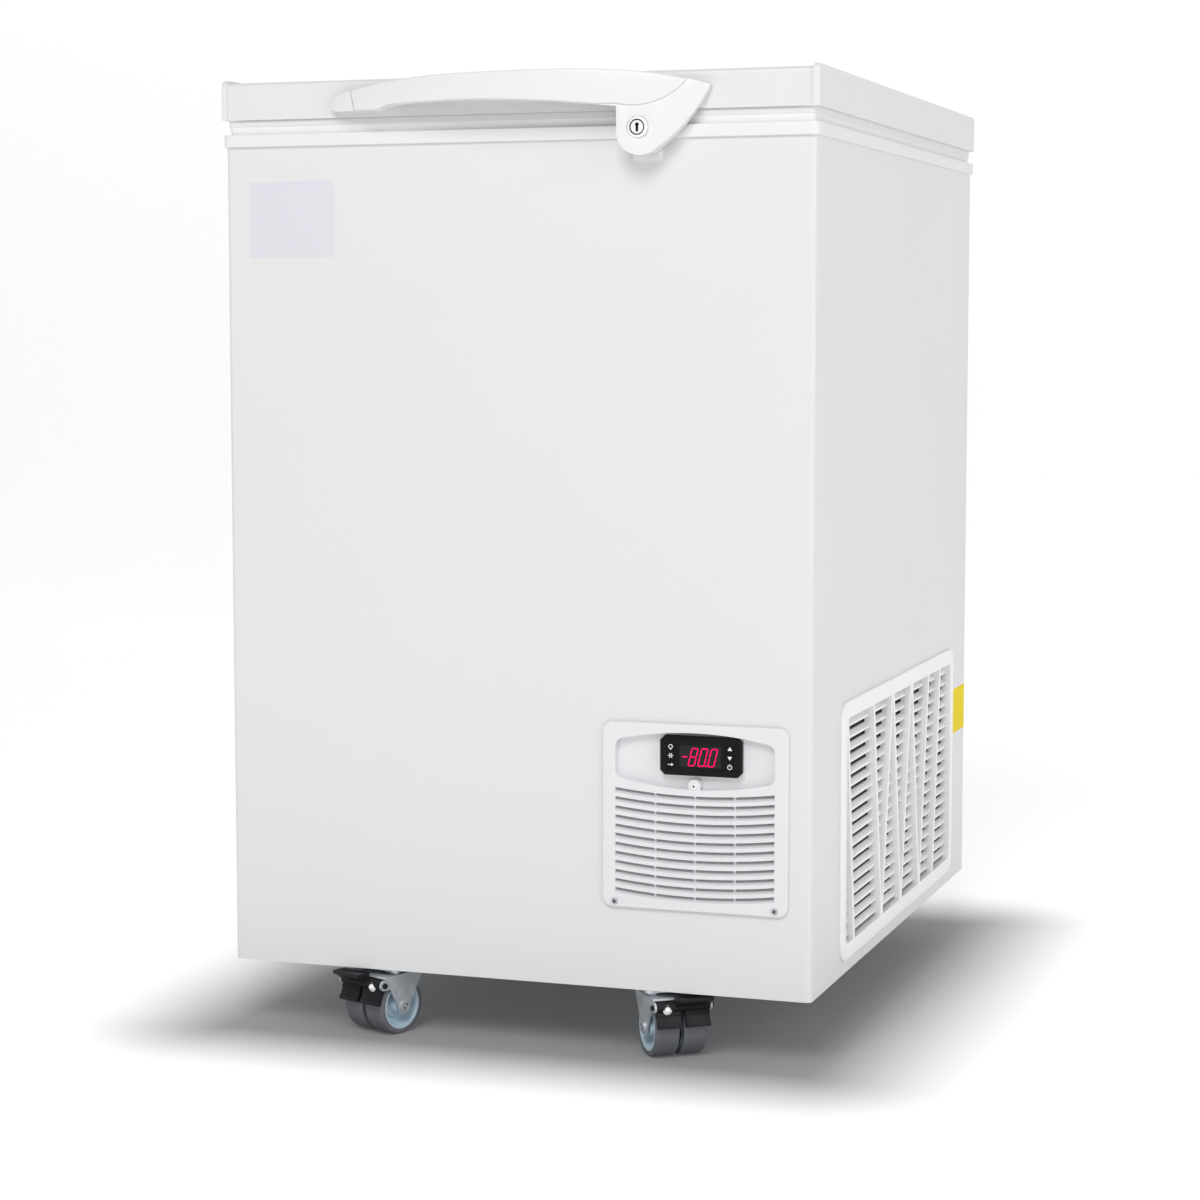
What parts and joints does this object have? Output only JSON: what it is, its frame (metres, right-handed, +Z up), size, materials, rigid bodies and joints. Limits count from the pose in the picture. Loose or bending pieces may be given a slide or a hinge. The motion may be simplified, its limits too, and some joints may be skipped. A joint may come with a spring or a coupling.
{
  "type": "chest ultra low temperature freezer",
  "caption": "White chest freezer on twin-wheel casters with a hinged locking lid, a stepped insulated chest, a louvred front control panel and a side grille.",
  "frame": {"origin": "on the floor under the middle of the whole footprint", "axes": "+Z up, -Y out of the front, +X towards the grille side"},
  "size_m": [0.59, 0.76, 0.92],
  "materials": {
    "white_paint": "satin",
    "white_plastic": "satin",
    "liner_steel": "satin",
    "zinc_steel": "satin",
    "foam": "matte",
    "seal_rubber": "matte",
    "black_plastic": "satin",
    "black_gloss": "gloss",
    "black_rubber": "matte",
    "black_steel": "gloss",
    "aluminium": "satin",
    "copper": "satin",
    "chrome": "polished",
    "wheel_grey": "satin"
  },
  "bodies": {
    "cabinet": {"cabinet_wrap": "white_paint", "back_panel": "white_paint", "base_pan": "zinc_steel", "step_panel": "zinc_steel", "inner_liner": "liner_steel", "insulation_foam": "foam", "top_frame": "white_plastic", "front_panel": "white_plastic", "panel_screws": "zinc_steel", "controller_body": "black_gloss", "display_window": "black_gloss", "side_grille": "white_plastic", "machine_cover": "white_paint", "cord_gland": "black_plastic", "compressor": "black_steel", "compressor_grommets": "black_rubber", "condenser": "aluminium", "fan_shroud": "zinc_steel", "fan_motor": "black_plastic", "filter_drier": "copper", "refrigerant_lines": "copper", "evaporator_coil": "copper", "lock_strike": "zinc_steel", "hinge_brackets": "zinc_steel", "hinge_pins": "zinc_steel", "caster_plates": "zinc_steel"},
    "lid": {"lid_wrap": "white_paint", "lid_left_cap": "white_plastic", "lid_right_cap": "white_plastic", "lid_liner": "white_plastic", "lid_foam": "foam", "lid_gasket": "seal_rubber", "handle_base": "white_plastic", "handle_cover": "white_plastic", "lock_body": "chrome", "hinge_leaves": "zinc_steel"},
    "lock": {"lock_plug": "chrome", "lock_cam": "zinc_steel"},
    "fan": {"fan_blades": "black_plastic"},
    "key_left_top_cap": {"key_left_top": "black_plastic"},
    "key_left_middle_cap": {"key_left_middle": "black_plastic"},
    "key_left_bottom_cap": {"key_left_bottom": "black_plastic"},
    "key_right_top_cap": {"key_right_top": "black_plastic"},
    "key_right_middle_cap": {"key_right_middle": "black_plastic"},
    "key_right_bottom_cap": {"key_right_bottom": "black_plastic"},
    "swivel_front_left": {"fork_front_left": "zinc_steel"},
    "roller_front_left_inner": {"wheel_front_left_inner": "wheel_grey"},
    "roller_front_left_outer": {"wheel_front_left_outer": "wheel_grey"},
    "pedal_front_left": {"brake_front_left": "black_plastic"},
    "swivel_front_right": {"fork_front_right": "zinc_steel"},
    "roller_front_right_inner": {"wheel_front_right_inner": "wheel_grey"},
    "roller_front_right_outer": {"wheel_front_right_outer": "wheel_grey"},
    "pedal_front_right": {"brake_front_right": "black_plastic"},
    "swivel_rear_left": {"fork_rear_left": "zinc_steel"},
    "roller_rear_left_inner": {"wheel_rear_left_inner": "wheel_grey"},
    "roller_rear_left_outer": {"wheel_rear_left_outer": "wheel_grey"},
    "swivel_rear_right": {"fork_rear_right": "zinc_steel"},
    "roller_rear_right_inner": {"wheel_rear_right_inner": "wheel_grey"},
    "roller_rear_right_outer": {"wheel_rear_right_outer": "wheel_grey"}
  },
  "joints": [
    {"name": "lid_hinge", "type": "hinge", "parent": "cabinet", "child": "lid", "pos_m": [0, 0.372, 0.873], "axis": [-1, 0, 0], "range_deg": [0, 85], "stiffness_Nm_per_rad": 11, "springref_deg": 89.95},
    {"name": "lock_turn", "type": "hinge", "parent": "lid", "child": "lock", "pos_m": [0.1315, -0.351, 0.865], "axis": [0, -1, 0], "range_deg": [0, 90]},
    {"name": "fan_spin", "type": "hinge", "parent": "cabinet", "child": "fan", "pos_m": [0.1785, -0.221, 0.1625], "axis": [0, 1, 0], "continuous": true},
    {"name": "key_left_top_press", "type": "slide", "parent": "cabinet", "child": "key_left_top_cap", "axis": [0, 1, 0], "range_m": [0, 0.0006], "stiffness_N_per_m": 400},
    {"name": "key_left_middle_press", "type": "slide", "parent": "cabinet", "child": "key_left_middle_cap", "axis": [0, 1, 0], "range_m": [0, 0.0006], "stiffness_N_per_m": 400},
    {"name": "key_left_bottom_press", "type": "slide", "parent": "cabinet", "child": "key_left_bottom_cap", "axis": [0, 1, 0], "range_m": [0, 0.0006], "stiffness_N_per_m": 400},
    {"name": "key_right_top_press", "type": "slide", "parent": "cabinet", "child": "key_right_top_cap", "axis": [0, 1, 0], "range_m": [0, 0.0006], "stiffness_N_per_m": 400},
    {"name": "key_right_middle_press", "type": "slide", "parent": "cabinet", "child": "key_right_middle_cap", "axis": [0, 1, 0], "range_m": [0, 0.0006], "stiffness_N_per_m": 400},
    {"name": "key_right_bottom_press", "type": "slide", "parent": "cabinet", "child": "key_right_bottom_cap", "axis": [0, 1, 0], "range_m": [0, 0.0006], "stiffness_N_per_m": 400},
    {"name": "swivel_front_left_turn", "type": "hinge", "parent": "cabinet", "child": "swivel_front_left", "pos_m": [-0.14, -0.299, 0], "axis": [0, 0, 1], "continuous": true},
    {"name": "roller_front_left_inner_spin", "type": "hinge", "parent": "swivel_front_left", "child": "roller_front_left_inner", "pos_m": [-0.14599, -0.31383, 0.028], "axis": [0.9272, -0.3746, 0], "continuous": true},
    {"name": "roller_front_left_outer_spin", "type": "hinge", "parent": "swivel_front_left", "child": "roller_front_left_outer", "pos_m": [-0.14599, -0.31383, 0.028], "axis": [0.9272, -0.3746, 0], "continuous": true},
    {"name": "pedal_front_left_press", "type": "hinge", "parent": "swivel_front_left", "child": "pedal_front_left", "pos_m": [-0.15611, -0.33887, 0.052], "axis": [0.9272, -0.3746, 0], "range_deg": [0, 5], "stiffness_Nm_per_rad": 0.6},
    {"name": "swivel_front_right_turn", "type": "hinge", "parent": "cabinet", "child": "swivel_front_right", "pos_m": [0.14, -0.299, 0], "axis": [0, 0, 1], "continuous": true},
    {"name": "roller_front_right_inner_spin", "type": "hinge", "parent": "swivel_front_right", "child": "roller_front_right_inner", "pos_m": [0.14963, -0.31178, 0.028], "axis": [0.7986, 0.6018, 0], "continuous": true},
    {"name": "roller_front_right_outer_spin", "type": "hinge", "parent": "swivel_front_right", "child": "roller_front_right_outer", "pos_m": [0.14963, -0.31178, 0.028], "axis": [0.7986, 0.6018, 0], "continuous": true},
    {"name": "pedal_front_right_press", "type": "hinge", "parent": "swivel_front_right", "child": "pedal_front_right", "pos_m": [0.16588, -0.33334, 0.052], "axis": [0.7986, 0.6018, 0], "range_deg": [0, 5], "stiffness_Nm_per_rad": 0.6},
    {"name": "swivel_rear_left_turn", "type": "hinge", "parent": "cabinet", "child": "swivel_rear_left", "pos_m": [-0.14, 0.311, 0], "axis": [0, 0, 1], "continuous": true},
    {"name": "roller_rear_left_inner_spin", "type": "hinge", "parent": "swivel_rear_left", "child": "roller_rear_left_inner", "pos_m": [-0.14599, 0.32583, 0.028], "axis": [-0.9272, -0.3746, 0], "continuous": true},
    {"name": "roller_rear_left_outer_spin", "type": "hinge", "parent": "swivel_rear_left", "child": "roller_rear_left_outer", "pos_m": [-0.14599, 0.32583, 0.028], "axis": [-0.9272, -0.3746, 0], "continuous": true},
    {"name": "swivel_rear_right_turn", "type": "hinge", "parent": "cabinet", "child": "swivel_rear_right", "pos_m": [0.14, 0.311, 0], "axis": [0, 0, 1], "continuous": true},
    {"name": "roller_rear_right_inner_spin", "type": "hinge", "parent": "swivel_rear_right", "child": "roller_rear_right_inner", "pos_m": [0.14963, 0.32378, 0.028], "axis": [-0.7986, 0.6018, 0], "continuous": true},
    {"name": "roller_rear_right_outer_spin", "type": "hinge", "parent": "swivel_rear_right", "child": "roller_rear_right_outer", "pos_m": [0.14963, 0.32378, 0.028], "axis": [-0.7986, 0.6018, 0], "continuous": true}
  ]
}
